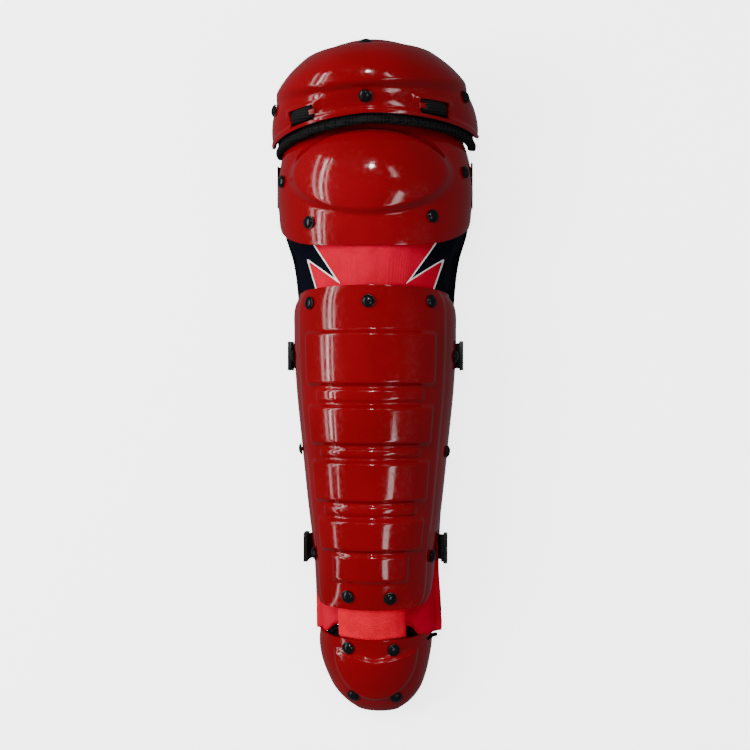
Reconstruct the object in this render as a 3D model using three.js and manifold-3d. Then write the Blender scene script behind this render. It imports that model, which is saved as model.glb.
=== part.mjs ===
// Catcher leg guard, lying on its back with its front up. Millimetres, +Z up, +Y towards the thigh, +X to the right.
import * as THREE from "three";
import { mergeVertices } from "three/addons/utils/BufferGeometryUtils.js";
import Module from "manifold-3d";

const wasm = await Module();
wasm.setup();

// General sizes
const fitGap = 0.4; // air between neighbours
const edgeAir = 1.5; // air round the edges of the shells
const shellWall = 3;
const padThickness = 12;
const bevelRun = 4.5; // width of each moulded slope
const strapThickness = 2.2;
const webbingThickness = 3;

// Cap shell over the thigh end
const capLength = 79;
const capWidth = 205;
const capHeight = 122; // crown without the raised dome
const capEnd = 243; // y of its lower rim
const capTurn = THREE.MathUtils.degToRad(2.2);
const capDomeRise = 4.5;
const capBandDepth = 24; // the lower band with rivets and slots
const capShoulderRun = 10; // width of the slope from the band up to the dome
const capRivetFromRim = 18;
const capSideRivetFromRim = 29;
const capBeadRise = 2.2;
const capBeadWidth = 4;
const capPadThickness = 9.2;
const capPadOverhang = 9;
const slotWidth = 25;
const slotLength = 14;
const slotCentreAngle = 0.42; // share of a quarter turn from the crown
const slotCentreFromRim = 12;

// Knee shell
const kneeLength = 119;
const kneeWidth = 194;
const kneeHeight = 96;
const kneeEnd = 126;
const kneeDomeRise = 5;
const kneeDomeBulge = 6;
const kneeDomeHalfWidth = 74;
const kneeDomeHalfLength = 39;
const kneeDomeCentre = 195;
const kneeDomeRun = 8; // width of the slope round the dome

// Shin shell
const shinLength = 305;
const shinWidth = 161;
const shinHeight = 92;
const shinEnd = -214;
const shinBodyRise = 1.5;
const blockRise = 4.5;
const neckRise = 2;
const lastBlockRise = 2.5;

// Foot shell
const footLength = 76;
const footWidth = 114;
const footHeight = 60;
const footEnd = -322;
const footAside = 3;
const footDomeRise = 3.5;
const footDomeHalfWidth = 39;
const footDomeHalfLength = 46;
const footDomeTop = -260;
const footPadThickness = 8;

// Leg pad
const padLength = 450;
const padWidth = 182;
const padHeight = 90;
const padEnd = -238;
const padTailShare = 0.1; // how far the sides run on past the arch
const padTailDrop = 5;
const padTailThickness = 4;

// Hinge band
const bandWidth = 67;
const bandLength = 70;
const bandEnd = -264;
const bandThickness = 3;
const bandHeight = 76;
const bandRoom = bandThickness + 7; // recess for the band in the foot pad

// Straps and their hook plates
const calfStrapWidth = 25;
const thighStrapWidth = 42;
const calfStrapSide = 19; // height of the strap's ends above the floor
const thighStrapSide = 25;
const strapBend = 6;
const hookWidth = 29;
const hookHeight = 17;
const hookThickness = 3.2;
const hookCorner = 2.5;

// Rivets
const rivetHeadRadius = 6.1;
const rivetHeadHeight = 3.2;
const rivetShankRadius = 2;
const rivetHoleRadius = rivetShankRadius + fitGap;

const materials = {
  shell: { color: 0x9c0a10, roughness: 0.18, metalness: 0 },
  mesh: { color: 0x0d0d10, roughness: 0.95, metalness: 0 },
  webbing: { color: 0x0b0b0d, roughness: 0.85, metalness: 0 },
  fabric: { color: 0xd11a2c, roughness: 0.75, metalness: 0 },
  band: { color: 0xf22033, roughness: 0.7, metalness: 0 },
  rivet: { color: 0x16181a, roughness: 0.25, metalness: 0.8 },
  hook: { color: 0x111113, roughness: 0.45, metalness: 0 },
};

// A profile is a table of rows along the part. Every row is an arch: along runs from the lower end (0) to the
// upper end (1), width, crown and edge are shares of the part's width and height, bow moves the two edges along y
// and aside moves the row along x, as shares of the part's length and width. Flare is how far the sides that run on
// past the arch lean out, as a share of the width.
const capRows = [
  { along: 0, width: 0.98, crown: 0.9, edge: 0.07, bow: -0.1, aside: 0 },
  { along: 0.12, width: 1, crown: 0.925, edge: 0.1, bow: -0.09, aside: 0 },
  { along: 0.28, width: 0.985, crown: 0.97, edge: 0.14, bow: -0.06, aside: 0 },
  { along: 0.45, width: 0.93, crown: 1, edge: 0.19, bow: -0.045, aside: 0 },
  { along: 0.62, width: 0.83, crown: 0.985, edge: 0.26, bow: -0.03, aside: 0 },
  { along: 0.78, width: 0.68, crown: 0.9, edge: 0.35, bow: -0.02, aside: 0 },
  { along: 0.9, width: 0.51, crown: 0.77, edge: 0.45, bow: -0.01, aside: 0 },
  { along: 1, width: 0.27, crown: 0.6, edge: 0.52, bow: 0, aside: 0 },
];
const kneeRows = [
  { along: 0, width: 0.85, crown: 0.965, edge: 0.38, bow: 0.07, aside: 0 },
  { along: 0.05, width: 0.91, crown: 0.975, edge: 0.29, bow: 0.07, aside: 0 },
  { along: 0.14, width: 0.96, crown: 0.99, edge: 0.22, bow: 0.06, aside: 0 },
  { along: 0.3, width: 0.985, crown: 1, edge: 0.18, bow: 0.03, aside: 0 },
  { along: 0.5, width: 1, crown: 1.01, edge: 0.17, bow: 0, aside: 0 },
  { along: 0.7, width: 0.975, crown: 0.99, edge: 0.17, bow: 0, aside: 0 },
  { along: 0.85, width: 0.855, crown: 0.945, edge: 0.21, bow: -0.02, aside: 0 },
  { along: 1, width: 0.76, crown: 0.89, edge: 0.27, bow: -0.04, aside: 0 },
];
const shinRows = [
  { along: 0, width: 0.64, crown: 0.78, edge: 0.48, bow: 0.012, aside: 0 },
  { along: 0.02, width: 0.69, crown: 0.8, edge: 0.36, bow: 0.012, aside: 0 },
  { along: 0.06, width: 0.72, crown: 0.83, edge: 0.26, bow: 0.01, aside: 0 },
  { along: 0.15, width: 0.745, crown: 0.87, edge: 0.2, bow: 0, aside: 0 },
  { along: 0.3, width: 0.82, crown: 0.93, edge: 0.17, bow: 0, aside: 0 },
  { along: 0.5, width: 0.9, crown: 0.975, edge: 0.16, bow: 0, aside: 0 },
  { along: 0.7, width: 0.975, crown: 1, edge: 0.16, bow: 0, aside: 0 },
  { along: 0.88, width: 1, crown: 1.005, edge: 0.17, bow: -0.01, aside: 0 },
  { along: 0.97, width: 0.98, crown: 1.01, edge: 0.2, bow: -0.025, aside: 0 },
  { along: 1, width: 0.92, crown: 1.015, edge: 0.25, bow: -0.03, aside: 0 },
];
const footRows = [
  { along: 0, width: 0.26, crown: 0.46, edge: 0.36, bow: 0.06, aside: 0.035 },
  { along: 0.08, width: 0.43, crown: 0.58, edge: 0.27, bow: 0.05, aside: 0.03 },
  { along: 0.22, width: 0.65, crown: 0.71, edge: 0.2, bow: 0.05, aside: 0.02 },
  { along: 0.4, width: 0.81, crown: 0.82, edge: 0.15, bow: 0.05, aside: 0.01 },
  { along: 0.62, width: 0.93, crown: 0.92, edge: 0.13, bow: 0.05, aside: 0 },
  { along: 0.85, width: 0.99, crown: 0.99, edge: 0.13, bow: 0.05, aside: 0 },
  { along: 1, width: 0.97, crown: 1.03, edge: 0.15, bow: 0.05, aside: 0 },
];
const padRows = [
  { along: 0, width: 0.62, crown: 0.56, edge: 0.12, bow: 0, aside: 0.018, flare: 0.04 },
  { along: 0.05, width: 0.62, crown: 0.6, edge: 0.12, bow: 0, aside: 0.015, flare: 0.04 },
  { along: 0.12, width: 0.615, crown: 0.7, edge: 0.12, bow: 0, aside: 0.004, flare: 0.04 },
  { along: 0.26, width: 0.66, crown: 0.86, edge: 0.12, bow: 0, aside: 0, flare: 0.035 },
  { along: 0.42, width: 0.735, crown: 0.935, edge: 0.12, bow: 0, aside: 0, flare: 0.03 },
  { along: 0.62, width: 0.81, crown: 0.97, edge: 0.12, bow: 0, aside: 0, flare: 0.02 },
  { along: 0.72, width: 0.795, crown: 0.97, edge: 0.12, bow: 0, aside: 0, flare: 0.04 },
  { along: 0.8, width: 0.845, crown: 0.97, edge: 0.14, bow: 0, aside: 0, flare: 0.04 },
  { along: 0.87, width: 0.995, crown: 1.035, edge: 0.16, bow: 0, aside: 0, flare: 0.01 },
  { along: 1, width: 0.98, crown: 1.02, edge: 0.17, bow: 0, aside: 0, flare: 0.005 },
];
const bandRows = [
  { along: 0, width: 0.96, crown: 0.71, edge: 0.56, bow: 0, aside: 0 },
  { along: 0.28, width: 1, crown: 0.775, edge: 0.62, bow: 0, aside: 0 },
  { along: 0.6, width: 1, crown: 0.875, edge: 0.73, bow: 0, aside: 0 },
  { along: 1, width: 1, crown: 1, edge: 0.84, bow: 0, aside: 0 },
];

// Gives the points and normals of a profile's arch surface: across runs from -1 (left edge) over 0 (crown) to
// 1 (right edge) and past that down the flared sides, y is a height in the part's own frame.
function archSurface({ rows, length, width, height, end, tailDrop = 0 }) {
  const columns = ["width", "crown", "edge", "bow", "aside", "flare"];
  const starts = rows.map((row) => row.along);
  const values = rows.flatMap((row) => columns.map((column) => row[column] ?? 0));
  const blend = new THREE.CubicInterpolant(starts, values, columns.length);
  const point = (across, y) => {
    const along = THREE.MathUtils.clamp((y - end) / length, 0, 1);
    const [rowWidth, crown, edge, bow, aside, flare] = blend.evaluate(along);
    const angle = (THREE.MathUtils.clamp(across, -1, 1) * Math.PI) / 2;
    const tail = Math.max(0, Math.abs(across) - 1) / padTailShare;
    const x = width * (0.5 * rowWidth * Math.sin(angle) + aside + Math.sign(across) * flare * tail);
    const z = height * (edge + (crown - edge) * Math.cos(angle)) - tailDrop * tail;
    return new THREE.Vector3(x, y + bow * length * (1 - Math.cos(angle)), z);
  };
  const normal = (across, y) => {
    const step = 0.01;
    const sideways = point(across + step, y).sub(point(across - step, y));
    const upwards = point(across, y + 1).sub(point(across, y - 1));
    return sideways.cross(upwards).normalize();
  };
  return { point, normal };
}

// Turns a share of the half width into the matching place across the arch.
const acrossOf = (share) => Math.asin(THREE.MathUtils.clamp(share, -1, 1)) / (Math.PI / 2);

// Closed sheet on an arch surface, between two offsets from it. Both offsets are functions of across and y.
function sheet(surface, acrosses, heights, outerOffset, innerOffset) {
  const columns = acrosses.length;
  const rowCount = heights.length;
  const positions = [];
  for (const offset of [outerOffset, innerOffset]) {
    for (const y of heights) {
      for (const across of acrosses) {
        const place = surface.point(across, y).addScaledVector(surface.normal(across, y), offset(across, y));
        positions.push(place.x, place.y, place.z);
      }
    }
  }
  const layer = columns * rowCount;
  const at = (side, row, column) => side * layer + row * columns + column;
  const indices = [];
  const quad = (a, b, c, d) => indices.push(a, b, c, a, c, d);
  for (let row = 0; row + 1 < rowCount; row++) {
    for (let column = 0; column + 1 < columns; column++) {
      quad(at(0, row, column), at(0, row, column + 1), at(0, row + 1, column + 1), at(0, row + 1, column));
      quad(at(1, row, column), at(1, row + 1, column), at(1, row + 1, column + 1), at(1, row, column + 1));
    }
    const last = columns - 1;
    quad(at(0, row, 0), at(0, row + 1, 0), at(1, row + 1, 0), at(1, row, 0));
    quad(at(0, row, last), at(1, row, last), at(1, row + 1, last), at(0, row + 1, last));
  }
  for (let column = 0; column + 1 < columns; column++) {
    const last = rowCount - 1;
    quad(at(0, 0, column), at(1, 0, column), at(1, 0, column + 1), at(0, 0, column + 1));
    quad(at(0, last, column), at(0, last, column + 1), at(1, last, column + 1), at(1, last, column));
  }
  const geometry = new THREE.BufferGeometry();
  geometry.setAttribute("position", new THREE.Float32BufferAttribute(positions, 3));
  geometry.setIndex(indices);
  return geometry;
}

// Even places from first to last, with the extra places of creases sorted in.
function places(first, last, count, creases = []) {
  const even = Array.from({ length: count + 1 }, (_, index) => first + ((last - first) * index) / count);
  const nearest = ((last - first) / count) * 0.42;
  const kept = even.filter((place, index) => {
    const isEnd = index === 0 || index === count;
    return isEnd || creases.every((crease) => Math.abs(crease - place) > nearest);
  });
  return [...kept, ...creases.filter((crease) => crease > first && crease < last)].sort((a, b) => a - b);
}

const mirrored = (values) => [...values.map((value) => -value), ...values];
const slope = (from, to, value) => THREE.MathUtils.clamp((value - from) / (to - from), 0, 1);

// A step that is 1 inside an oval and falls to 0 over the moulded slope around it.
function ovalStep(x, y, halfWidth, halfLength, slopeRun) {
  const reach = Math.hypot(x / halfWidth, y / halfLength);
  const run = slopeRun / Math.min(halfWidth, halfLength);
  return slope(1 + run / 2, 1 - run / 2, reach);
}

// Solids for joining and cutting
function toSolid(geometry) {
  const plain = geometry.clone();
  plain.deleteAttribute("normal");
  plain.deleteAttribute("uv");
  const merged = mergeVertices(plain, 0.0001);
  return new wasm.Manifold(new wasm.Mesh({
    numProp: 3,
    vertProperties: new Float32Array(merged.attributes.position.array),
    triVerts: new Uint32Array(merged.index.array),
  }));
}

function toGeometry(solid) {
  const mesh = solid.getMesh();
  const geometry = new THREE.BufferGeometry();
  geometry.setAttribute("position", new THREE.BufferAttribute(new Float32Array(mesh.vertProperties), 3));
  geometry.setIndex(new THREE.BufferAttribute(new Uint32Array(mesh.triVerts), 1));
  return geometry;
}

const cut = (geometry, cutters) => toGeometry(
  cutters.reduce((solid, cutter) => solid.subtract(toSolid(cutter)), toSolid(geometry)),
);

// Where a rivet stands on a shell: on the outer face, its axis along the surface normal.
function rivetPlace(surface, offset, spot) {
  const across = acrossOf(spot.share);
  const axis = surface.normal(across, spot.y);
  const seat = surface.point(across, spot.y).addScaledVector(axis, offset(across, spot.y));
  return new THREE.Matrix4().compose(
    seat,
    new THREE.Quaternion().setFromUnitVectors(new THREE.Vector3(0, 0, 1), axis),
    new THREE.Vector3(1, 1, 1),
  );
}

function rivetHole(place) {
  const hole = new THREE.CylinderGeometry(rivetHoleRadius, rivetHoleRadius, 6 * shellWall, 8);
  return hole.rotateX(Math.PI / 2).applyMatrix4(place);
}

// Domed head with a shank that ends flush with the inner face of the shell.
function rivetGeometry(place, lift) {
  const top = lift + rivetHeadHeight;
  const profile = [
    new THREE.Vector2(0, -shellWall),
    new THREE.Vector2(rivetShankRadius, -shellWall),
    new THREE.Vector2(rivetShankRadius, lift),
    new THREE.Vector2(rivetHeadRadius, lift),
    new THREE.Vector2(rivetHeadRadius, lift + rivetHeadHeight * 0.3),
    new THREE.Vector2(rivetHeadRadius * 0.75, lift + rivetHeadHeight * 0.8),
    new THREE.Vector2(0, top),
  ];
  return new THREE.LatheGeometry(profile, 8).rotateX(Math.PI / 2).applyMatrix4(place);
}

// The space that a shell takes up, with the air that its neighbours keep below it. Rise is how far the shell stands
// proud of its surface there.
function shellSpace({ surface, from, to, rise = 0, acrosses = places(-1, 1, 16), creases = [] }) {
  const reach = 12 * shellWall;
  const below = rise - shellWall - 2 * fitGap;
  const heights = places(from - edgeAir, to + edgeAir, 10, creases);
  return sheet(surface, acrosses, heights, () => reach, () => below);
}

const guard = new THREE.Group();

function addPiece(name, geometry, look, group = guard) {
  const mesh = new THREE.Mesh(geometry, new THREE.MeshStandardMaterial(look));
  mesh.name = name;
  group.add(mesh);
  return mesh;
}

// Adds a shell with holes for its rivets, and the rivets.
function addRivetedShell({ name, surface, geometry, offset, spots, cutters = [], group = guard }) {
  const rivetPlaces = spots.map((spot) => rivetPlace(surface, offset, spot));
  addPiece(`${name}_shell`, cut(geometry, [...cutters, ...rivetPlaces.map(rivetHole)]), materials.shell, group);
  rivetPlaces.forEach((place, index) => {
    addPiece(`${name}_rivet_${index + 1}`, rivetGeometry(place, spots[index].lift ?? 0.9), materials.rivet, group);
  });
}

// Cap
const capSurface = archSurface({
  rows: capRows, length: capLength, width: capWidth, height: capHeight, end: capEnd,
});
const capTop = capEnd + capLength;
const capBandTop = capEnd + capBandDepth;
const capRimTop = capTop - 2 * capBeadWidth;
const capBandWiden = 14; // the band is this much deeper at the sides
function capRelief(across, y) {
  const bandTop = capBandTop + capBandWiden * across * across;
  const dome = slope(bandTop, bandTop + capShoulderRun, y) * slope(capRimTop, capRimTop - bevelRun, y);
  const sides = slope(0.93, 0.86, Math.abs(across));
  const lowerBead = slope(capEnd + capBeadWidth + 2, capEnd + capBeadWidth, y);
  const upperBead = slope(capTop - capBeadWidth - 2, capTop - capBeadWidth, y);
  return capDomeRise * dome * sides + capBeadRise * Math.max(lowerBead, upperBead);
}

// A patch of the cap's surface around a slot, grown on all sides and between two offsets.
function slotPatch(side, grow, outer, inner) {
  const centre = capEnd + slotCentreFromRim;
  const halfAcross = (slotWidth / 2 + grow) / (capWidth * 0.62);
  const from = side * slotCentreAngle - halfAcross;
  const to = side * slotCentreAngle + halfAcross;
  const acrosses = places(from, to, 4);
  const heights = [centre - slotLength / 2 - grow, centre, centre + slotLength / 2 + grow];
  return sheet(capSurface, acrosses, heights, () => outer, () => inner);
}

function addCap() {
  const group = new THREE.Group();
  group.position.set(0, capEnd, 0);
  group.rotation.z = capTurn;
  const inner = new THREE.Group();
  inner.position.set(0, -capEnd, 0);
  group.add(inner);
  guard.add(group);
  const creases = [
    capEnd + capBeadWidth, capEnd + capBeadWidth + 2, capBandTop, capBandTop + capShoulderRun,
    capRimTop - bevelRun, capRimTop, capTop - capBeadWidth - 2, capTop - capBeadWidth,
  ];
  const geometry = sheet(
    capSurface,
    places(-1, 1, 20, mirrored([0.86, 0.93])),
    places(capEnd, capTop, 8, creases),
    capRelief,
    (across, y) => capRelief(across, y) - shellWall,
  );
  addRivetedShell({
    name: "cap",
    surface: capSurface,
    geometry,
    offset: capRelief,
    cutters: [-1, 1].map((side) => slotPatch(side, 0, 4 * shellWall, -4 * shellWall)),
    spots: [
      { share: 0, y: capEnd + capRivetFromRim },
      { share: -0.96, y: capEnd + capSideRivetFromRim, lift: 1.8 },
      { share: 0.96, y: capEnd + capSideRivetFromRim, lift: 1.8 },
      { share: 0, y: capTop - 5, lift: 1.5 },
    ],
    group: inner,
  });
  const padTop = capTop - 4 * capBeadWidth;
  const below = () => -shellWall - 2.5 * fitGap;
  addPiece("cap_pad", sheet(
    capSurface,
    places(-1, 1, 14),
    places(capEnd - capPadOverhang, padTop, 6),
    below,
    () => below() - capPadThickness,
  ), materials.mesh, inner);
  for (const [word, side] of [["left", -1], ["right", 1]]) {
    const patch = slotPatch(side, -fitGap, webbingThickness / 2, -webbingThickness / 2);
    addPiece(`cap_webbing_${word}`, patch, materials.webbing, inner);
  }
}

// Knee
const kneeSurface = archSurface({
  rows: kneeRows, length: kneeLength, width: kneeWidth, height: kneeHeight, end: kneeEnd,
});
function kneeRelief(across, y) {
  const x = kneeSurface.point(across, y).x;
  const fromCentre = y - kneeDomeCentre;
  const reach = Math.min(1, Math.hypot(x / kneeDomeHalfWidth, fromCentre / kneeDomeHalfLength));
  const bulge = kneeDomeBulge * (1 - reach * reach);
  return kneeDomeRise * ovalStep(x, fromCentre, kneeDomeHalfWidth, kneeDomeHalfLength, kneeDomeRun) + bulge;
}

function addKnee() {
  const geometry = sheet(
    kneeSurface,
    places(-1, 1, 22),
    places(kneeEnd, kneeEnd + kneeLength, 15),
    kneeRelief,
    (across, y) => kneeRelief(across, y) - shellWall,
  );
  addRivetedShell({
    name: "knee",
    surface: kneeSurface,
    geometry,
    offset: kneeRelief,
    spots: [
      { share: -0.955, y: 193, lift: 1.2 },
      { share: 0.94, y: 200, lift: 1.2 },
      { share: -0.67, y: 147 },
      { share: 0.62, y: 152 },
    ],
  });
}

// Shin: four raised blocks with lower necks between them and a last, lower block
const shinSurface = archSurface({
  rows: shinRows, length: shinLength, width: shinWidth, height: shinHeight, end: shinEnd,
});
const shinForms = [
  { top: 52, length: 54, share: 0.77, rise: blockRise },
  { top: -2, length: 16, share: 0.66, rise: neckRise },
  { top: -18, length: 40, share: 0.77, rise: blockRise },
  { top: -58, length: 12, share: 0.66, rise: neckRise },
  { top: -70, length: 42, share: 0.77, rise: blockRise },
  { top: -112, length: 13, share: 0.66, rise: neckRise },
  { top: -125, length: 34, share: 0.76, rise: blockRise },
  { top: -159, length: 30, share: 0.6, rise: lastBlockRise },
];
const shinStepShare = 0.9;
const shinRun = (2 * bevelRun) / shinWidth;
const shinShares = [0.6, 0.66, 0.77, shinStepShare].flatMap((share) => [share - shinRun, share]);
const shinAcrosses = places(-1, 1, 10, mirrored(shinShares.map(acrossOf)));
function shinRelief(across, y) {
  const share = Math.abs(Math.sin((across * Math.PI) / 2));
  const body = slope(shinStepShare, shinStepShare - shinRun, share);
  const levels = shinForms.map((form) => {
    const lengthwise = Math.min(
      slope(form.top, form.top - bevelRun, y),
      slope(form.top - form.length, form.top - form.length + bevelRun, y),
    );
    return form.rise * Math.min(lengthwise, slope(form.share, form.share - shinRun, share));
  });
  return shinBodyRise * body + Math.max(...levels);
}

const shinRoom = {
  surface: shinSurface,
  from: shinEnd,
  to: shinEnd + shinLength,
  acrosses: [-1.02, ...shinAcrosses, 1.02],
  creases: [shinEnd + 25, shinEnd + 38],
};
function addShin() {
  const creases = shinForms.flatMap((form) => [
    form.top, form.top - bevelRun, form.top - form.length + bevelRun,
  ]);
  const lastForm = shinForms.at(-1);
  const geometry = sheet(
    shinSurface,
    shinAcrosses,
    places(shinEnd, shinEnd + shinLength, 8, [...new Set(creases), lastForm.top - lastForm.length]),
    shinRelief,
    (across, y) => shinRelief(across, y) - shellWall,
  );
  addRivetedShell({
    name: "shin",
    surface: shinSurface,
    geometry,
    offset: shinRelief,
    spots: [
      { share: 0, y: 74 },
      { share: -0.71, y: 72 },
      { share: 0.71, y: 73 },
      { share: -0.985, y: 29, lift: 1.4 },
      { share: 0.985, y: 28, lift: 1.4 },
      { share: -0.985, y: -64, lift: 1.4 },
      { share: 0.985, y: -66, lift: 1.4 },
      { share: -0.94, y: -165, lift: 1.2 },
      { share: 0.94, y: -167, lift: 1.2 },
      { share: -0.36, y: -201 },
      { share: 0.36, y: -203 },
    ],
  });
}

// Foot
const footSurface = archSurface({
  rows: footRows, length: footLength, width: footWidth, height: footHeight, end: footEnd,
});
function footRelief(across, y) {
  const x = footSurface.point(across, y).x - footAside;
  const notch = 8 * (1 - Math.min(1, Math.abs(x) / footDomeHalfWidth));
  const upper = slope(footDomeTop - notch + bevelRun, footDomeTop - notch, y);
  const step = ovalStep(x, y - footDomeTop, footDomeHalfWidth, footDomeHalfLength, bevelRun);
  return footDomeRise * Math.min(upper, step);
}

function addFoot() {
  const geometry = sheet(
    footSurface,
    places(-1, 1, 16),
    places(footEnd, footEnd + footLength, 12),
    footRelief,
    (across, y) => footRelief(across, y) - shellWall,
  );
  addRivetedShell({
    name: "foot",
    surface: footSurface,
    geometry,
    offset: footRelief,
    spots: [
      { share: -0.4, y: -254 },
      { share: 0.38, y: -254 },
      { share: -0.55, y: -308 },
      { share: 0.55, y: -309 },
    ],
  });
  const below = (across, y) => -shellWall - fitGap - bandRoom * slope(bandEnd - 9, bandEnd - 3, y);
  addPiece("foot_pad", sheet(
    footSurface,
    places(-1, 1, 12),
    places(footEnd + 6, footEnd + footLength - 4, 7),
    below,
    (across, y) => below(across, y) - footPadThickness,
  ), materials.mesh);
}

// Long cushion behind knee and shin, a thick arch whose sides reach down close to the floor. The shells press into it.
const padSurface = archSurface({
  rows: padRows, length: padLength, width: padWidth, height: padHeight, end: padEnd, tailDrop: padTailDrop,
});
function addLegPad() {
  const depth = (across) => THREE.MathUtils.lerp(
    padThickness,
    padTailThickness,
    slope(1 - padTailShare, 1 + padTailShare, Math.abs(across)),
  );
  const geometry = sheet(
    padSurface,
    places(-1 - padTailShare, 1 + padTailShare, 14, [-1, 1]),
    places(padEnd, padEnd + padLength, 15),
    () => 0,
    (across) => -depth(across),
  );
  const spaces = [
    shellSpace({ surface: kneeSurface, from: kneeEnd, to: kneeEnd + kneeLength }),
    shellSpace(shinRoom),
  ];
  addPiece("leg_pad", cut(geometry, spaces), materials.fabric);
}

// Red band that bridges the gap between shin and foot, under the edges of both shells
function addHingeBand() {
  const surface = archSurface({
    rows: bandRows, length: bandLength, width: bandWidth, height: bandHeight, end: bandEnd,
  });
  const geometry = sheet(
    surface,
    places(-1, 1, 8),
    places(bandEnd, bandEnd + bandLength, 6),
    () => 0,
    () => -bandThickness,
  );
  const spaces = [
    shellSpace({ ...shinRoom, rise: shinBodyRise - fitGap }),
    shellSpace({ surface: footSurface, from: footEnd, to: footEnd + footLength }),
  ];
  addPiece("hinge_band", cut(geometry, spaces), materials.band);
}

// A strap runs down one side, under the guard on the floor and up the other side.
function strapGeometry(innerX, sideHeight, strapWidth) {
  const outerX = innerX + strapThickness;
  const innerBend = strapBend - strapThickness;
  const outline = new THREE.Shape();
  outline.moveTo(-outerX, sideHeight);
  outline.lineTo(-outerX, strapBend);
  outline.quadraticCurveTo(-outerX, 0, -outerX + strapBend, 0);
  outline.lineTo(outerX - strapBend, 0);
  outline.quadraticCurveTo(outerX, 0, outerX, strapBend);
  outline.lineTo(outerX, sideHeight);
  outline.lineTo(innerX, sideHeight);
  outline.lineTo(innerX, strapBend);
  outline.quadraticCurveTo(innerX, strapThickness, innerX - innerBend, strapThickness);
  outline.lineTo(-innerX + innerBend, strapThickness);
  outline.quadraticCurveTo(-innerX, strapThickness, -innerX, strapBend);
  outline.closePath();
  const geometry = new THREE.ExtrudeGeometry(outline, { depth: strapWidth, bevelEnabled: false, curveSegments: 4 });
  return geometry.translate(0, 0, -strapWidth / 2).rotateX(Math.PI / 2);
}

// Plate with cut corners that the strap hooks on to, standing on its edge against the strap.
function hookPlateGeometry() {
  const halfWidth = hookWidth / 2;
  const halfHeight = hookHeight / 2;
  const outline = new THREE.Shape([
    new THREE.Vector2(-halfWidth, -halfHeight + hookCorner),
    new THREE.Vector2(-halfWidth + hookCorner, -halfHeight),
    new THREE.Vector2(halfWidth - hookCorner, -halfHeight),
    new THREE.Vector2(halfWidth, -halfHeight + hookCorner),
    new THREE.Vector2(halfWidth, halfHeight - hookCorner),
    new THREE.Vector2(halfWidth - hookCorner, halfHeight),
    new THREE.Vector2(-halfWidth + hookCorner, halfHeight),
    new THREE.Vector2(-halfWidth, halfHeight - hookCorner),
  ]);
  const geometry = new THREE.ExtrudeGeometry(outline, { depth: hookThickness, bevelEnabled: false });
  return geometry.rotateX(Math.PI / 2).rotateZ(Math.PI / 2);
}

// Half the inside width of a strap that passes close by everything at its place along the guard.
function strapInside(y, strapWidth) {
  const heights = [y - strapWidth / 2, y, y + strapWidth / 2];
  const reaches = heights.flatMap((height) => [
    Math.abs(padSurface.point(1 + padTailShare, height).x),
    height > kneeEnd ? kneeSurface.point(1, height).x : shinSurface.point(1, height).x,
  ]);
  return Math.max(...reaches) + 2 * fitGap;
}

function addStraps() {
  const straps = [
    { name: "thigh_strap", y: 196, side: thighStrapSide, width: thighStrapWidth, hooks: false },
    { name: "calf_strap_upper", y: 28, side: calfStrapSide, width: calfStrapWidth, hooks: true },
    { name: "calf_strap_lower", y: -163, side: calfStrapSide, width: calfStrapWidth, hooks: true },
  ];
  for (const strap of straps) {
    const inside = strapInside(strap.y, strap.width);
    addPiece(strap.name, strapGeometry(inside, strap.side, strap.width), materials.webbing).position.y = strap.y;
    if (!strap.hooks) continue;
    const reach = inside + strapThickness + fitGap;
    for (const [word, side] of [["left", -1], ["right", 1]]) {
      const plate = addPiece(`${strap.name}_hook_${word}`, hookPlateGeometry(), materials.hook);
      const inward = side > 0 ? 0 : -hookThickness;
      plate.position.set(side * reach + inward, strap.y, strap.side - hookHeight / 2);
    }
  }
}

addCap();
addKnee();
addShin();
addFoot();
addLegPad();
addHingeBand();
addStraps();

// The origin goes under the middle of the whole guard, on the floor.
guard.updateMatrixWorld(true);
const box = new THREE.Box3().setFromObject(guard, true);
const middle = box.getCenter(new THREE.Vector3());
guard.position.set(-middle.x, -middle.y, -box.min.z);

export default guard;
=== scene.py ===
import bpy
import math
from functools import lru_cache
from mathutils import Matrix, Vector


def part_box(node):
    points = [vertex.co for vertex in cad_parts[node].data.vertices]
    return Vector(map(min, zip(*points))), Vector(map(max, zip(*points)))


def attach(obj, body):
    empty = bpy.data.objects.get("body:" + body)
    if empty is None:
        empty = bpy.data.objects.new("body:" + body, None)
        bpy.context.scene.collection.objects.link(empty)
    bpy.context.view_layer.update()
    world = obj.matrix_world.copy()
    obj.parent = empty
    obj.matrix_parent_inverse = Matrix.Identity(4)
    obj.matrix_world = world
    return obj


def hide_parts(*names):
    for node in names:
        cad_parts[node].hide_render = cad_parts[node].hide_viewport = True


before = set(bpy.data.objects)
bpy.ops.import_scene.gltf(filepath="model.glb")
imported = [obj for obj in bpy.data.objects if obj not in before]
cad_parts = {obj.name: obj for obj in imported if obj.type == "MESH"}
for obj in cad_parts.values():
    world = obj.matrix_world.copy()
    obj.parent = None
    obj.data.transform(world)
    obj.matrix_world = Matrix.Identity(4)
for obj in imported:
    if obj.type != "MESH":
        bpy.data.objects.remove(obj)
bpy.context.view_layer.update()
mm = 0.001

# the middle of the guard in the row frame, read from the upper calf strap
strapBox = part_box("calf_strap_upper")
strapMiddleY = 28 * mm
shiftX = (strapBox[0][0] + strapBox[1][0]) / 2
shiftY = (strapBox[0][1] + strapBox[1][1]) / 2 - strapMiddleY
print("frame loaded")

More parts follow.
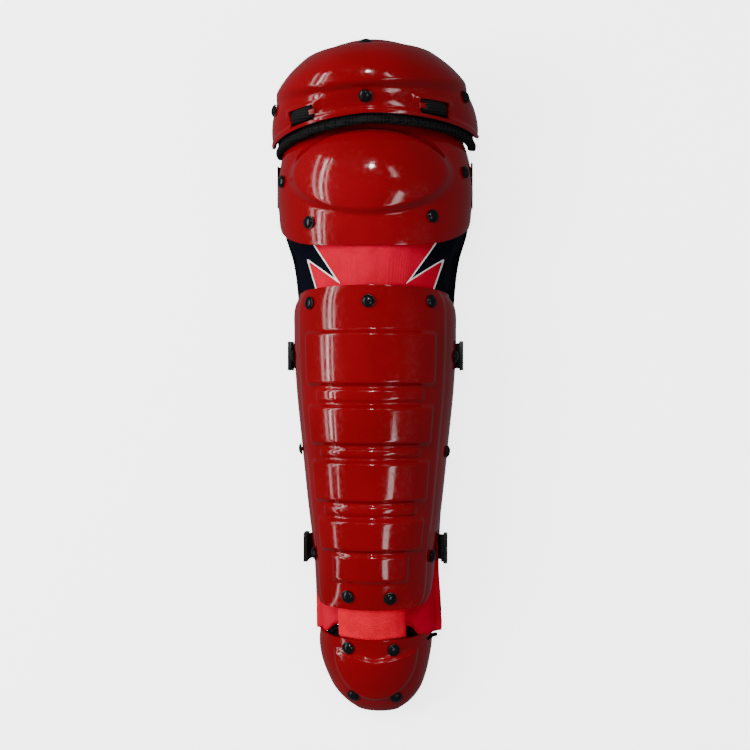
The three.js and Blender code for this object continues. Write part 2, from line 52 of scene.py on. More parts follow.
# camera above the guard, a little to its right, as in the photograph
camera = {"place": (0.097, 0.0075, 1.2), "aim": (0.0025, 0.0075, 0.05), "lens": 57.3, "sensor": 36}
bpy.ops.object.camera_add(location=camera["place"])
cameraObject = bpy.context.object
cameraObject.data.lens = camera["lens"]
cameraObject.data.sensor_width = camera["sensor"]
toAim = Vector(camera["aim"]) - Vector(camera["place"])
cameraObject.rotation_euler = (math.atan2(toAim.y, -toAim.z), math.atan2(-toAim.x, -toAim.z), 0)
bpy.context.scene.camera = cameraObject


def deselectAll():
    bpy.ops.object.select_all(action="DESELECT")


def useOnly(piece):
    deselectAll()
    piece.select_set(True)
    bpy.context.view_layer.objects.active = piece


def applyAll(piece):
    useOnly(piece)
    for modifier in list(piece.modifiers):
        bpy.ops.object.modifier_apply(modifier=modifier.name)


def shadeSmooth(piece, angle=None):
    useOnly(piece)
    if angle is None:
        bpy.ops.object.shade_smooth()
    else:
        bpy.ops.object.shade_smooth_by_angle(angle=math.radians(angle))


def clamp(value, low=0.0, high=1.0):
    return max(low, min(high, value))


def slope(start, end, value):
    return clamp((value - start) / (end - start))


def softSlope(start, end, value):
    share = slope(start, end, value)
    return share * share * (3 - 2 * share)


# materials


def newMaterial(name, colour, roughness, metallic=0.0):
    material = bpy.data.materials.new(name)
    material.use_nodes = True
    shader = material.node_tree.nodes["Principled BSDF"]
    shader.inputs["Base Color"].default_value = (*colour, 1)
    shader.inputs["Roughness"].default_value = roughness
    shader.inputs["Metallic"].default_value = metallic
    return material, shader


def addNode(material, kind, **values):
    node = material.node_tree.nodes.new(kind)
    for key, value in values.items():
        if key in node.inputs:
            node.inputs[key].default_value = value
        else:
            setattr(node, key, value)
    return node


def link(material, source, target):
    material.node_tree.links.new(source, target)


def objectPlace(material):
    return addNode(material, "ShaderNodeTexCoord").outputs["Object"]


def mathNode(material, operation, first, second=None, third=None):
    node = addNode(material, "ShaderNodeMath", operation=operation)
    for index, value in enumerate((first, second, third)):
        if value is None:
            continue
        if isinstance(value, (int, float)):
            node.inputs[index].default_value = value
        else:
            link(material, value, node.inputs[index])
    return node.outputs[0]


def noiseAt(material, place, scale, detail=3.0):
    node = addNode(material, "ShaderNodeTexNoise", Scale=scale, Detail=detail)
    link(material, place, node.inputs["Vector"])
    return node.outputs["Fac"]


def ramp(material, value, low, high, lowColour, highColour):
    node = addNode(material, "ShaderNodeValToRGB")
    node.color_ramp.elements[0].position = low
    node.color_ramp.elements[0].color = (*lowColour, 1)
    node.color_ramp.elements[1].position = high
    node.color_ramp.elements[1].color = (*highColour, 1)
    link(material, value, node.inputs["Fac"])
    return node.outputs["Color"]


def bumpFrom(material, shader, height, strength, distance):
    bump = addNode(material, "ShaderNodeBump", Strength=strength, Distance=distance)
    link(material, height, bump.inputs["Height"])
    link(material, bump.outputs["Normal"], shader.inputs["Normal"])


def grey(value):
    return (value, value, value)


def moulded(name, dark, light, gloss, shine):
    # glossy moulded plastic: slight clouding, very fine orange peel, hairline scuffs in the gloss
    material, shader = newMaterial(name, light, gloss)
    place = objectPlace(material)
    clouds = noiseAt(material, place, 9)
    link(material, ramp(material, clouds, 0.35, 0.7, dark, light), shader.inputs["Base Color"])
    scuffs = noiseAt(material, place, 230, 6)
    low, high = max(0.02, gloss - 0.05), gloss + 0.12
    link(material, ramp(material, scuffs, 0.45, 0.8, grey(low), grey(high)), shader.inputs["Roughness"])
    bumpFrom(material, shader, noiseAt(material, place, 260, 1), 0.03, 0.0002)
    shader.inputs["Specular IOR Level"].default_value = shine
    return material


def weave(material, place, pitch):
    # plain weave: two crossed waves
    separate = addNode(material, "ShaderNodeSeparateXYZ")
    link(material, place, separate.inputs[0])
    turns = 2 * math.pi / pitch
    along = mathNode(material, "SINE", mathNode(material, "MULTIPLY", separate.outputs[0], turns))
    across = mathNode(material, "SINE", mathNode(material, "MULTIPLY", separate.outputs[1], turns))
    deep = mathNode(material, "SINE", mathNode(material, "MULTIPLY", separate.outputs[2], turns))
    return mathNode(material, "ADD", mathNode(material, "MULTIPLY", along, across), deep), separate


def fabric(name, dark, light, pitch, roughness):
    material, shader = newMaterial(name, light, roughness)
    place = objectPlace(material)
    threads, _ = weave(material, place, pitch)
    # base colour is random clouding plus painted shade from the weave: darker in the dips between threads,
    # lighter on their crests
    weaveShade = mathNode(material, "MULTIPLY", threads, 0.06)
    shade = mathNode(material, "ADD", noiseAt(material, place, 60), weaveShade)
    link(material, ramp(material, shade, 0.3, 0.75, dark, light), shader.inputs["Base Color"])
    bumpFrom(material, shader, threads, 0.35, 0.0003)
    shader.inputs["Specular IOR Level"].default_value = 0.05
    return material


def airMesh(name):
    # black spacer mesh with rows of small holes
    material, shader = newMaterial(name, grey(0.01), 0.9)
    place = objectPlace(material)
    cells = addNode(material, "ShaderNodeTexVoronoi", feature="F1", Scale=300, Randomness=0.12)
    link(material, place, cells.inputs["Vector"])
    holes = cells.outputs["Distance"]
    # painted shade: the colour is darker down in the holes
    link(material, ramp(material, holes, 0.3, 0.55, grey(0.0003), grey(0.007)), shader.inputs["Base Color"])
    bumpFrom(material, shader, holes, 0.8, 0.0008)
    shader.inputs["Specular IOR Level"].default_value = 0.2
    return material


def webbing(name, ribPitch, colour):
    # ribbed woven elastic: ribs across the length, fine threads along it
    material, shader = newMaterial(name, grey(colour), 0.7)
    place = objectPlace(material)
    threads, separate = weave(material, place, 0.9 * mm)
    turns = mathNode(material, "MULTIPLY", separate.outputs[1], 2 * math.pi / ribPitch)
    ribs = mathNode(material, "SINE", turns)
    height = mathNode(material, "ADD", mathNode(material, "MULTIPLY", ribs, 1.5), threads)
    # painted shade in the grooves between the ribs and painted highlight on their crests: the colour follows
    # the rib height
    tone = ramp(material, height, 0, 1, grey(colour * 0.3), grey(colour * 1.8))
    link(material, tone, shader.inputs["Base Color"])
    bumpFrom(material, shader, height, 0.5, 0.0004)
    shader.inputs["Specular IOR Level"].default_value = 0.2
    return material


printLook = {
    "red": (0.52, 0.001, 0.024),
    "deepRed": (0.42, 0.0006, 0.016),
    "black": (0.0015, 0.0015, 0.005),
    "white": (0.75, 0.74, 0.74),
    "middle": 3.5 * mm,
    "piping": 0.6 * mm,
    "blackFrom": 44 * mm,  # the flanks are black above this height, red below it
    "soften": 3 * mm,  # rounding of the notch between the two lower borders
    # borders of the zigzag: distance from the middle, height, slope
    "inner": (59.2 * mm, 133.8 * mm, 0.68),
    "under": (65.5 * mm, 118.7 * mm, 1.4),
    "outer": (65.5 * mm, 118.7 * mm, 0.32),
}


def pastBorder(material, x, y, border):
    # distance outwards from a slanted border
    start, height, slant = border
    edge = mathNode(material, "MULTIPLY_ADD", y, slant, start - slant * height)
    return mathNode(material, "DIVIDE", mathNode(material, "SUBTRACT", x, edge), math.hypot(1, slant))


def printedFabric(name):
    # red fabric with black zigzag flanks edged by a thin white line
    look = printLook
    material, shader = newMaterial(name, look["red"], 0.62)
    place = objectPlace(material)
    threads, separate = weave(material, place, mm)
    sideways = mathNode(material, "SUBTRACT", separate.outputs[0], shiftX + look["middle"])
    x = mathNode(material, "ABSOLUTE", sideways)
    y = separate.outputs[1]
    inner, under, outer = (pastBorder(material, x, y, look[word]) for word in ("inner", "under", "outer"))
    above = mathNode(material, "MULTIPLY", under, -1)
    notch = mathNode(material, "SMOOTH_MAX", above, outer, look["soften"])
    outside = mathNode(material, "MINIMUM", inner, notch)
    flank = mathNode(material, "GREATER_THAN", outside, 0.0)
    upper = mathNode(material, "GREATER_THAN", y, look["blackFrom"])
    black = mathNode(material, "MULTIPLY", flank, upper)
    line = mathNode(material, "LESS_THAN", mathNode(material, "ABSOLUTE", outside), look["piping"])
    white = mathNode(material, "MULTIPLY", line, upper)
    colour = ramp(material, noiseAt(material, place, 40), 0.3, 0.7, look["deepRed"], look["red"])
    for share, tone in ((black, look["black"]), (white, look["white"])):
        mix = addNode(material, "ShaderNodeMix", data_type="RGBA")
        link(material, share, mix.inputs["Factor"])
        link(material, colour, mix.inputs[6])
        mix.inputs[7].default_value = (*tone, 1)
        colour = mix.outputs[2]
    link(material, colour, shader.inputs["Base Color"])
    bumpFrom(material, shader, threads, 0.3, 0.0003)
    shader.inputs["Specular IOR Level"].default_value = 0.05
    return material


looks = {
    "shell": moulded("shellPlastic", (0.14, 0.0001, 0.0018), (0.19, 0.0002, 0.0034), 0.13, 0.42),
    "hook": moulded("hookPlastic", grey(0.004), grey(0.009), 0.35, 0.4),
    "mesh": airMesh("airMesh"),
    "webbing": webbing("elasticWebbing", 2.4 * mm, 0.007),
    "print": printedFabric("printedFabric"),
    "band": fabric("bandFabric", (0.58, 0.0015, 0.016), (0.74, 0.0025, 0.026), 0.8 * mm, 0.6),
    "lining": fabric("liningFabric", grey(0.0015), grey(0.005), 0.9 * mm, 0.8),
}


def rivetMetal():
    material, shader = newMaterial("rivetMetal", (0.03, 0.033, 0.036), 0.2, 0.85)
    place = objectPlace(material)
    wear = noiseAt(material, place, 900, 4)
    link(material, ramp(material, wear, 0.4, 0.8, grey(0.13), grey(0.26)), shader.inputs["Roughness"])
    tone = ramp(material, wear, 0.3, 0.8, (0.012, 0.013, 0.015), (0.035, 0.038, 0.042))
    link(material, tone, shader.inputs["Base Color"])
    return material


looks["rivet"] = rivetMetal()
print("materials made")

# arch surfaces: rows along the guard, each an arch from the left edge over the crown to the right edge
# columns of a row: along, width, crown, edge, bow, aside, flare, all shares of the piece's size


def rowBlend(rows):
    places = [row[0] for row in rows]

    @lru_cache(maxsize=None)
    def blend(along):
        along = clamp(along)
        index = 0
        while index + 2 < len(places) and along > places[index + 1]:
            index += 1
        start, end = places[index], places[index + 1]
        before = index - 1 if index > 0 else index + 1
        after = index + 2 if index + 2 < len(places) else index
        half = (end - start) / 2
        weightBefore = half / (start - places[before])
        weightAfter = half / (places[after] - end)
        step = (along - start) / (end - start)
        square, cube = step ** 2, step ** 3
        bend = -1.5 - 2 * weightBefore
        shares = (
            -weightBefore * cube + 2 * weightBefore * square - weightBefore * step,
            (1 + weightBefore) * cube + bend * square + (-0.5 + weightBefore) * step + 1,
            (-1 - weightAfter) * cube + (1.5 + weightAfter) * square + 0.5 * step,
            weightAfter * cube - weightAfter * square,
        )
        used = (rows[before], rows[index], rows[index + 1], rows[after])
        return [sum(share * row[column] for share, row in zip(shares, used)) for column in range(1, 7)]

    return blend


class Arch:
    tailShare = 0.1
    probe = 0.01  # how far to the side the surface is read for its normal
    rimRun, topRun = 40 * mm, 30 * mm  # how far the raised rims reach

    def __init__(self, look):
        self.length, self.width = look["length"] * mm, look["width"] * mm
        self.height, self.end = look["height"] * mm, look["end"] * mm
        self.tailDrop = look.get("tailDrop", 0) * mm
        self.turn = look.get("turn", 0)
        self.blend = rowBlend(look["rows"])
        self.rimRaise, self.topRaise = look.get("rimRaise", 0), look.get("topRaise", 0)

    def raised(self, across, y):
        # the middle of the lower rim is drawn up, and the middle of the upper rim a little
        share = abs(math.sin(clamp(across, -1, 1) * math.pi / 2))
        fromTop = self.end + self.length - y
        low = self.rimRaise * (1 - share ** 1.3) * softSlope(self.rimRun, 0, y - self.end)
        return low + self.topRaise * (1 - share ** 2) * softSlope(self.topRun, 0, fromTop)

    def flat(self, across, y):
        rowWidth, crown, edge, bow, aside, flare = self.blend((y - self.end) / self.length)
        angle = clamp(across, -1, 1) * math.pi / 2
        tail = max(0, abs(across) - 1) / self.tailShare
        x = self.width * (0.5 * rowWidth * math.sin(angle) + aside + math.copysign(flare * tail, across))
        z = self.height * (edge + (crown - edge) * math.cos(angle)) - self.tailDrop * tail
        rise = self.raised(across, y) if self.rimRaise else 0
        return Vector((x, y + bow * self.length * (1 - math.cos(angle)) + rise, z))

    def place(self, across, y, lift=0.0):
        sideways = self.flat(across + self.probe, y) - self.flat(across - self.probe, y)
        upwards = self.flat(across, y + mm) - self.flat(across, y - mm)
        point = self.flat(across, y) + sideways.cross(upwards).normalized() * lift
        point.y -= self.end
        point.rotate(Matrix.Rotation(self.turn, 3, "Z"))
        return point + Vector((shiftX, shiftY + self.end, 0))

    def normal(self, across, y):
        return (self.place(across, y, mm) - self.place(across, y)).normalized()


def acrossOf(share):
    return math.asin(clamp(share, -1, 1)) / (math.pi / 2)


def selectFaces(piece, chosen):
    # ends in edit mode, with only the chosen faces selected
    bpy.ops.object.mode_set(mode="EDIT")
    bpy.ops.mesh.select_mode(type="FACE")
    bpy.ops.mesh.select_all(action="DESELECT")
    bpy.ops.object.mode_set(mode="OBJECT")
    for face in piece.data.polygons:
        face.select = chosen(face)
    bpy.ops.object.mode_set(mode="EDIT")


cornerShare = 0.7  # of the arch's width, measured along its curve


def archPiece(
    name, arch, acrosses, heights, columns, rows, lift, openings=(), corners=(0, 0), sweep=(0, 0)
):
    # a flat grid bent on to the arch; openings are (across from, to, y from, to) left out of it, corners are
    # the radii of the lower and upper corners, sweep is how far the lower rim runs in and up at its sides
    deselectAll()
    bpy.ops.mesh.primitive_grid_add(x_subdivisions=columns, y_subdivisions=rows, size=2)
    piece = bpy.context.object
    piece.name = name
    lowAcross, highAcross = acrosses
    lowY, highY = (value * mm for value in heights)

    def spot(co):
        across = lowAcross + (highAcross - lowAcross) * (co.x + 1) / 2
        y = lowY + (highY - lowY) * (co.y + 1) / 2
        for fromEnd, radius in ((y - lowY, corners[0]), (highY - y, corners[1])):
            if fromEnd < radius:
                inset = radius - math.sqrt(radius ** 2 - (radius - fromEnd) ** 2)
                across *= 1 - inset / (arch.width * cornerShare)
        if y - lowY < sweep[1]:
            inset = sweep[0] * (1 - math.sqrt(1 - (1 - (y - lowY) / sweep[1]) ** 2))
            across = acrossOf(math.sin(across * math.pi / 2) * (1 - 2 * inset / arch.width))
        return across, y

    def inOpening(face):
        across, y = spot(face.center)
        return any(left < across < right and low < y < high for left, right, low, high in openings)

    if openings:
        selectFaces(piece, inOpening)
        bpy.ops.mesh.delete(type="FACE")
        bpy.ops.object.mode_set(mode="OBJECT")
    for vertex in piece.data.vertices:
        across, y = spot(vertex.co)
        vertex.co = arch.place(across, y, lift(across, y))
    return piece


def soften(piece, width, segments, fromAngle=None):
    # rounds the edges that are sharper than the angle, or all of them
    soft = piece.modifiers.new("edge", "BEVEL")
    soft.width = width
    soft.segments = segments
    if fromAngle:
        soft.limit_method = "ANGLE"
        soft.angle_limit = math.radians(fromAngle)
    applyAll(piece)


def thicken(piece, thickness, rim, segments=3):
    wall = piece.modifiers.new("wall", "SOLIDIFY")
    wall.thickness = thickness
    wall.offset = -1
    soften(piece, rim, segments, 60)
    shadeSmooth(piece)


def dress(piece, material, slot, *nodes):
    piece.data.materials.clear()
    piece.data.materials.append(looks[material])
    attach(piece, "root")
    if nodes:
        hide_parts(*nodes)


shellWall = 3 * mm
shellRim = 1.1 * mm
slopeRun = 4.5 * mm

# cap shell
cap = {
    "length": 79, "width": 205, "height": 122, "end": 243, "turn": math.radians(2.2),
    "domeRise": 4.5 * mm, "bandDepth": 24 * mm, "bandWiden": 14 * mm, "bead": 4 * mm, "beadRise": 2.2 * mm,
    "shoulderRun": 10 * mm, "rimRaise": 6.5 * mm, "topRaise": 3 * mm,
    "slotAcross": 0.42, "slotHalfAcross": 0.0983, "slotFromRim": 10.5 * mm, "slotHalfLength": 7 * mm,
    "lipRise": 1.8 * mm, "lipWidth": 4 * mm, "lipFade": (-0.2, 0.8), "sideFade": (0.94, 0.84),
    "beadRun": 2 * mm, "halfArc": 80 * mm, "corners": (20 * mm, 0),
    "rows": [
        (0, 0.98, 0.9, 0.07, -0.1, 0, 0),
        (0.12, 1, 0.925, 0.1, -0.09, 0, 0),
        (0.28, 0.985, 0.97, 0.14, -0.06, 0, 0),
        (0.45, 0.93, 1, 0.19, -0.045, 0, 0),
        (0.62, 0.83, 0.985, 0.26, -0.03, 0, 0),
        (0.78, 0.68, 0.9, 0.35, -0.02, 0, 0),
        (0.9, 0.51, 0.77, 0.45, -0.01, 0, 0),
        (1, 0.27, 0.6, 0.52, 0, 0, 0),
    ],
}
capArch = Arch(cap)
capTop = capArch.end + capArch.length


def capLift(across, y):
    bandTop = capArch.end + cap["bandDepth"] + cap["bandWiden"] * across ** 2
    rimTop = capTop - 2 * cap["bead"]
    dome = softSlope(bandTop, bandTop + cap["shoulderRun"], y) * softSlope(rimTop, rimTop - slopeRun, y)
    sides = softSlope(*cap["sideFade"], abs(across))
    lowerBead, upperBead = capArch.end + cap["bead"], capTop - cap["bead"]
    lower = softSlope(lowerBead + cap["beadRun"], lowerBead, y)
    upper = softSlope(upperBead - cap["beadRun"], upperBead, y)
    slotX = (abs(across) - cap["slotAcross"]) / cap["slotHalfAcross"]
    slotY = (y - capArch.end - cap["slotFromRim"]) / cap["slotHalfLength"]
    reach = (max(abs(slotX), abs(slotY)) - 1) * cap["slotHalfLength"]
    lip = cap["lipRise"] * softSlope(cap["lipWidth"], 0, reach) * softSlope(*cap["lipFade"], slotY)
    return cap["domeRise"] * dome * sides + cap["beadRise"] * max(lower, upper) + lip


def slotOpening(side, grow=0.0):
    middle = side * cap["slotAcross"]
    half = cap["slotHalfAcross"] + grow / cap["halfArc"]
    centre = capArch.end + cap["slotFromRim"]
    deep = cap["slotHalfLength"] + grow
    return middle - half, middle + half, centre - deep, centre + deep


capShell = archPiece(
    "capShell", capArch, (-1, 1), (cap["end"], cap["end"] + cap["length"]), 180, 74, capLift,
    [slotOpening(-1), slotOpening(1)], cap["corners"],
)
thicken(capShell, shellWall, shellRim)
dress(capShell, "shell", "shell", "cap_shell")
print("cap shell made")

# knee shell
knee = {
    "length": 119, "width": 194, "height": 96, "end": 130,
    "domeRise": 5 * mm, "domeBulge": 6 * mm, "domeHalfWidth": 74 * mm, "domeHalfLength": 39 * mm,
    "domeCentre": 199 * mm, "domeRun": 8 * mm, "under": 2, "corners": (0, 12 * mm),
    "sweep": (30 * mm, 17 * mm),
    "rows": [
        (0, 0.85, 0.965, 0.38, 0.07, 0, 0),
        (0.05, 0.91, 0.975, 0.29, 0.07, 0, 0),
        (0.14, 0.96, 0.99, 0.22, 0.06, 0, 0),
        (0.3, 0.985, 1, 0.18, 0.03, 0, 0),
        (0.5, 1, 1.01, 0.17, 0, 0, 0),
        (0.7, 0.975, 0.99, 0.17, 0, 0, 0),
        (0.85, 0.935, 0.945, 0.2, -0.02, 0, 0),
        (1, 0.87, 0.89, 0.24, -0.04, 0, 0),
    ],
}
kneeArch = Arch(knee)


def ovalLift(x, y, halfWidth, halfLength, slopeWidth):
    reach = math.hypot(x / halfWidth, y / halfLength)
    run = slopeWidth / min(halfWidth, halfLength)
    return softSlope(1 + run / 2, 1 - run / 2, reach), min(1, reach)


def kneeLift(across, y):
    x = kneeArch.flat(across, y).x
    fromCentre = y - knee["domeCentre"]
    step, reach = ovalLift(x, fromCentre, knee["domeHalfWidth"], knee["domeHalfLength"], knee["domeRun"])
    return knee["domeRise"] * step + knee["domeBulge"] * (1 - reach ** 2)


kneeShell = archPiece(
    "kneeShell", kneeArch, (-1, 1), (knee["end"], knee["end"] + knee["length"] + knee["under"]), 180, 88,
    kneeLift, (), knee["corners"], knee["sweep"],
)
thicken(kneeShell, shellWall, shellRim)
dress(kneeShell, "shell", "shell", "knee_shell")
print("knee shell made")

# shin shell; columns of a form: top, length, half width as a share, rise
shin = {
    "length": 305, "width": 161, "height": 92, "end": -214, "over": 2, "bodyRise": 1.5 * mm,
    "stepShare": 0.9, "formCorner": 5 * mm, "corners": (6 * mm, 9 * mm),
    "rows": [
        (0, 0.64, 0.78, 0.48, 0.012, 0, 0),
        (0.02, 0.69, 0.8, 0.36, 0.012, 0, 0),
        (0.06, 0.72, 0.83, 0.26, 0.01, 0, 0),
        (0.15, 0.745, 0.87, 0.2, 0, 0, 0),
        (0.3, 0.82, 0.93, 0.17, 0, 0, 0),
        (0.5, 0.9, 0.975, 0.16, 0, 0, 0),
        (0.7, 0.975, 1, 0.16, 0, 0, 0),
        (0.88, 1, 1.005, 0.17, -0.01, 0, 0),
        (0.97, 0.98, 1.01, 0.2, -0.018, 0, 0),
        (1, 0.92, 1.015, 0.25, -0.022, 0, 0),
    ],
    "forms": [
        (52, 54, 0.77, 4.5),
        (-2, 16, 0.66, 2),
        (-18, 40, 0.77, 4.5),
        (-58, 12, 0.66, 2),
        (-70, 42, 0.77, 4.5),
        (-112, 13, 0.66, 2),
        (-125, 34, 0.76, 4.5),
        (-159, 30, 0.6, 2.5),
    ],
}
shinArch = Arch(shin)


def roundedStep(across, along, run, corner):
    # 1 well inside two edges, 0 outside, with a rounded corner; both are distances in from the edges
    inX, inY = corner - across, corner - along
    reach = math.hypot(max(inX, 0), max(inY, 0)) + min(max(inX, inY), 0)
    return softSlope(0, run, corner - reach)


def shinLift(across, y):
    share = abs(math.sin(across * math.pi / 2))
    half = shinArch.width / 2
    level = 0
    for top, length, halfShare, rise in shin["forms"]:
        fromSide = (halfShare - share) * half
        fromEnds = min(top * mm - y, y - (top - length) * mm)
        if fromSide > 0 and fromEnds > 0:
            level = max(level, rise * mm * roundedStep(fromSide, fromEnds, slopeRun, shin["formCorner"]))
    body = softSlope(shin["stepShare"], shin["stepShare"] - slopeRun / half, share)
    return shin["bodyRise"] * body + level


shinShell = archPiece(
    "shinShell", shinArch, (-1, 1), (shin["end"], shin["end"] + shin["length"] + shin["over"]), 150, 217,
    shinLift, (), shin["corners"],
)
thicken(shinShell, shellWall, shellRim)
dress(shinShell, "shell", "shell", "shin_shell")
print("shin shell made")

# foot shell
foot = {
    "length": 76, "width": 114, "height": 60, "end": -322, "aside": 3 * mm,
    "domeRise": 3.5 * mm, "domeHalfWidth": 39 * mm, "domeHalfLength": 46 * mm, "domeTop": -260 * mm,
    "notch": 8 * mm,
    "rows": [
        (0, 0.4, 0.46, 0.36, 0.06, 0.035, 0),
        (0.08, 0.56, 0.58, 0.27, 0.05, 0.03, 0),
        (0.22, 0.74, 0.71, 0.2, 0.05, 0.02, 0),
        (0.4, 0.86, 0.82, 0.15, 0.05, 0.01, 0),
        (0.62, 0.95, 0.92, 0.13, 0.05, 0, 0),
        (0.85, 0.99, 0.99, 0.13, 0.05, 0, 0),
        (1, 0.97, 1.03, 0.15, 0.05, 0, 0),
    ],
}
footArch = Arch(foot)


def footLift(across, y):
    x = footArch.flat(across, y).x - foot["aside"]
    notch = foot["notch"] * (1 - min(1, abs(x) / foot["domeHalfWidth"]))
    upper = softSlope(foot["domeTop"] - notch + slopeRun, foot["domeTop"] - notch, y)
    step, _ = ovalLift(x, y - foot["domeTop"], foot["domeHalfWidth"], foot["domeHalfLength"], slopeRun)
    return foot["domeRise"] * min(upper, step)


footShell = archPiece(
    "footShell", footArch, (-1, 1), (foot["end"], foot["end"] + foot["length"]), 120, 64, footLift,
)
thicken(footShell, shellWall, shellRim)
dress(footShell, "shell", "shell", "foot_shell")
print("foot shell made")

# rivets; columns of a spot: share of the half width, y, lift off the surface
rivet = {
    "radius": 6.1 * mm, "height": 3.2 * mm, "rim": 0.7 * mm, "shank": 2 * mm, "edge": 0.25 * mm,
    "smooth": 40, "baseShare": 0.35, "domeShare": 0.65,
    # steps of the dome: width as a share of the one below, rise as a share of the dome
    "steps": [(0.86, 0.42), (0.8, 0.28), (0.62, 0.2), (0.3, 0.1)],
    "cap": [(0, 260, 0.9), (-0.935, 271, 1), (0.915, 272, 1), (0, 316, 1.2)],
    "knee": [(-0.905, 197, 1.2), (0.925, 204, 1.2), (-0.605, 152, 0.9), (0.62, 157, 0.9)],
    "shin": [
        (0, 78, 0.9), (-0.71, 79, 0.9), (0.71, 80, 0.9), (-0.985, 29, 0.8), (0.985, 28, 0.8),
        (-0.985, -64, 0.6), (0.985, -66, 0.6), (-0.94, -165, 1), (0.94, -167, 1), (-0.36, -201, 0.9),
        (0.32, -202, 0.9),
    ],
    "foot": [(-0.4, -254, 0.9), (0.37, -255, 0.9), (-0.5, -304, 0.9), (0.48, -305, 0.9)],
}


def rivetModel():
    # a round head: a flat rim, a step and a dome, with a short shank below
    deselectAll()
    base = rivet["height"] * rivet["baseShare"]
    bpy.ops.mesh.primitive_cylinder_add(vertices=32, radius=rivet["radius"], depth=base)
    model = bpy.context.object
    model.name = "rivetModel"
    selectFaces(model, lambda face: face.normal.z > 0.9)
    bpy.ops.mesh.inset(thickness=rivet["rim"])
    rise = rivet["height"] * rivet["domeShare"]
    for share, lift in rivet["steps"]:
        bpy.ops.mesh.extrude_region_move(TRANSFORM_OT_translate={"value": (0, 0, rise * lift)})
        bpy.ops.transform.resize(value=(share, share, 1))
    selectFaces(model, lambda face: face.normal.z < -0.9)
    bpy.ops.mesh.inset(thickness=rivet["radius"] - rivet["shank"])
    bpy.ops.mesh.extrude_region_move(TRANSFORM_OT_translate={"value": (0, 0, -shellWall)})
    bpy.ops.object.mode_set(mode="OBJECT")
    soften(model, rivet["edge"], 2)
    for vertex in model.data.vertices:
        vertex.co.z += base / 2
    shadeSmooth(model, rivet["smooth"])
    return model


rivetPattern = rivetModel()
for word, arch, lift in (
    ("cap", capArch, capLift),
    ("knee", kneeArch, kneeLift),
    ("shin", shinArch, shinLift),
    ("foot", footArch, footLift),
):
    for index, (share, y, air) in enumerate(rivet[word]):
        across = acrossOf(share)
        seat = arch.place(across, y * mm, lift(across, y * mm) + air * mm)
        turn = arch.normal(across, y * mm).to_track_quat("Z", "Y").to_matrix().to_4x4()
        copy = bpy.data.objects.new(f"{word}Rivet{index + 1}", rivetPattern.data.copy())
        bpy.context.collection.objects.link(copy)
        copy.data.transform(Matrix.Translation(seat) @ turn)
        dress(copy, "rivet", "rivet", f"{word}_rivet_{index + 1}")
bpy.data.objects.remove(rivetPattern)
print("rivets made")

# webbing that shows in the cap's slots, beside a moulded tooth
slotWebbing = {
    "bulge": 3.8 * mm, "depth": 1.8 * mm, "thickness": 1.6 * mm, "air": 0.5 * mm, "edge": 0.3 * mm,
    "toothAcross": 0.042, "toothUnder": 0.02, "halfTooth": 2.6, "toothLift": 2.4 * mm, "toothEdge": 0.6 * mm,
}
for word, side in (("left", -1), ("right", 1)):
    low, high, start, end = slotOpening(side, -slotWebbing["air"])

    def webLift(across, y):
        x = (across - (low + high) / 2) / ((high - low) / 2)
        fall = (y - (start + end) / 2) / ((end - start) / 2)
        roundness = max(0, 1 - fall ** 2) ** 0.5 * max(0, 1 - x ** 6)
        return -slotWebbing["depth"] + (slotWebbing["bulge"] + slotWebbing["depth"]) * roundness

    piece = archPiece(f"capWebbing_{word}", capArch, (low, high), (start / mm, end / mm), 30, 16, webLift)
    thicken(piece, slotWebbing["thickness"], slotWebbing["edge"], 2)
    dress(piece, "webbing", "webbing", f"cap_webbing_{word}")
    inner = low if side > 0 else high
    toothEnds = sorted((inner - side * slotWebbing["toothUnder"], inner + side * slotWebbing["toothAcross"]))
    middle = (start + end) / 2 / mm
    halfTooth = slotWebbing["halfTooth"]
    tooth = archPiece(
        f"slotTooth_{word}", capArch, toothEnds, (middle - halfTooth, middle + halfTooth), 8, 6,
        lambda across, y: slotWebbing["toothLift"],
    )
    thicken(tooth, slotWebbing["toothLift"], slotWebbing["toothEdge"], 2)
    dress(tooth, "shell", "shell")
print("slot webbing made")

# soft pieces: a copy of the solid, remeshed and swelled; the leg pad is also quilted on its inner side
softPieces = {
    "legPad": {
        "node": "leg_pad", "voxel": 3 * mm, "smooth": 9, "swell": 1.6 * mm, "look": "print",
        "slot": "fabric", "channel": 52 * mm, "channelDepth": 2.6 * mm, "channelRun": 7 * mm, "fill": 0.6,
    },
    "capPad": {
        "node": "cap_pad", "voxel": 2.6 * mm, "smooth": 8, "swell": 0.5 * mm, "look": "mesh", "slot": "mesh",
        "fill": 0.6,
    },
    "footPad": {
        "node": "foot_pad", "voxel": 3 * mm, "smooth": 5, "swell": 0.5 * mm, "look": "mesh", "slot": "mesh",
        "fill": 0.6,
    },
}
legAxis = 10 * mm  # height of the leg's axis, which the pads' inner sides face
airPressure = {"force": 4, "frames": 20}


def copyOfNode(name, node):
    deselectAll()
    piece = bpy.data.objects.new(name, bpy.data.objects[node].data.copy())
    bpy.context.collection.objects.link(piece)
    useOnly(piece)
    bpy.ops.object.mode_set(mode="EDIT")
    bpy.ops.mesh.select_all(action="SELECT")
    bpy.ops.mesh.remove_doubles(threshold=0.01 * mm)
    bpy.ops.object.mode_set(mode="OBJECT")
    return piece


def remeshed(piece, voxel, smoothing):
    block = piece.modifiers.new("even", "REMESH")
    block.mode = "VOXEL"
    block.voxel_size = voxel
    soft = piece.modifiers.new("soft", "SMOOTH")
    soft.factor = 0.5
    soft.iterations = smoothing
    applyAll(piece)


